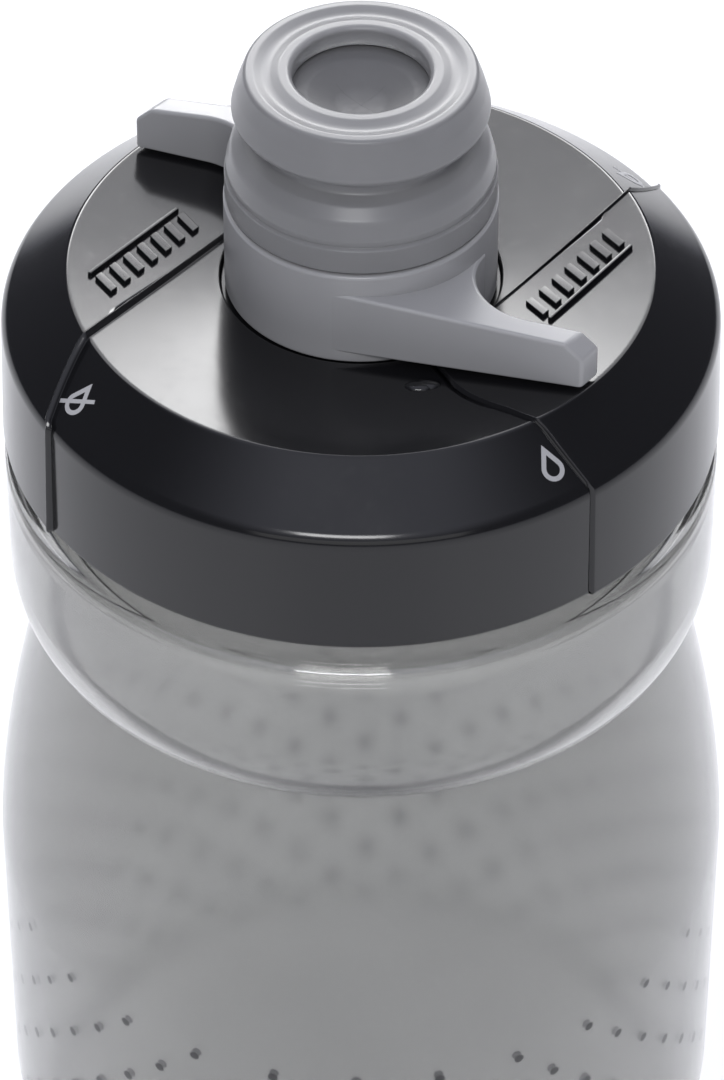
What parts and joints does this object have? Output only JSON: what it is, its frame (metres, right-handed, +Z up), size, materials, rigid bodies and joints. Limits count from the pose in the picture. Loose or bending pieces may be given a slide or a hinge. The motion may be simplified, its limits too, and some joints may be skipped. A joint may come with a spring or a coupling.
{
  "type": "bicycle water bottle",
  "caption": "Squeezable bicycle bottle with a waist for its cage, a screw cap, a winged quarter-turn valve lever and a soft pull-off nozzle.",
  "frame": {"origin": "centre of the base, on the plane of the foot ring", "axes": "+Z up along the bottle's axis towards the nozzle; -Y is the front, where the lever's right wing comes forward"},
  "size_m": [0.0734, 0.0734, 0.2207],
  "materials": {
    "smoke_polyethylene": "translucent, satin, slightly waxy",
    "black_cap": "high gloss",
    "grey_lever": "gloss",
    "nozzle_silicone": "smooth satin silicone",
    "seal_silicone": "satin silicone"
  },
  "bodies": {
    "bottle": {"bottle_body": "smoke_polyethylene"},
    "seal": {"cap_gasket": "seal_silicone"},
    "cap": {"cap_shell": "black_cap", "port_disc": "black_cap", "port_pad": "seal_silicone", "lever_seal": "seal_silicone"},
    "lever": {"lever": "grey_lever"},
    "nozzle": {"nozzle": "nozzle_silicone", "slit_valve": "nozzle_silicone", "valve_retainer": "grey_lever"}
  },
  "joints": [
    {"name": "cap_lift", "type": "slide", "parent": "bottle", "child": "seal", "axis": [0, 0, 1], "range_m": [0, 0.00626]},
    {"name": "cap_turn", "type": "hinge", "parent": "seal", "child": "cap", "pos_m": [0, 0, 0.19], "axis": [0, 0, 1], "range_deg": [0, 450]},
    {"name": "lever_turn", "type": "hinge", "parent": "cap", "child": "lever", "pos_m": [0, 0, 0.2], "axis": [0, 0, 1], "range_deg": [-94, 0]},
    {"name": "nozzle_pull", "type": "slide", "parent": "lever", "child": "nozzle", "axis": [0, 0, 1], "range_m": [0, 0.025]}
  ],
  "couplings": [
    {"joint": "cap_lift", "follows": "cap_turn", "m_per_rad": 0.00079577}
  ]
}
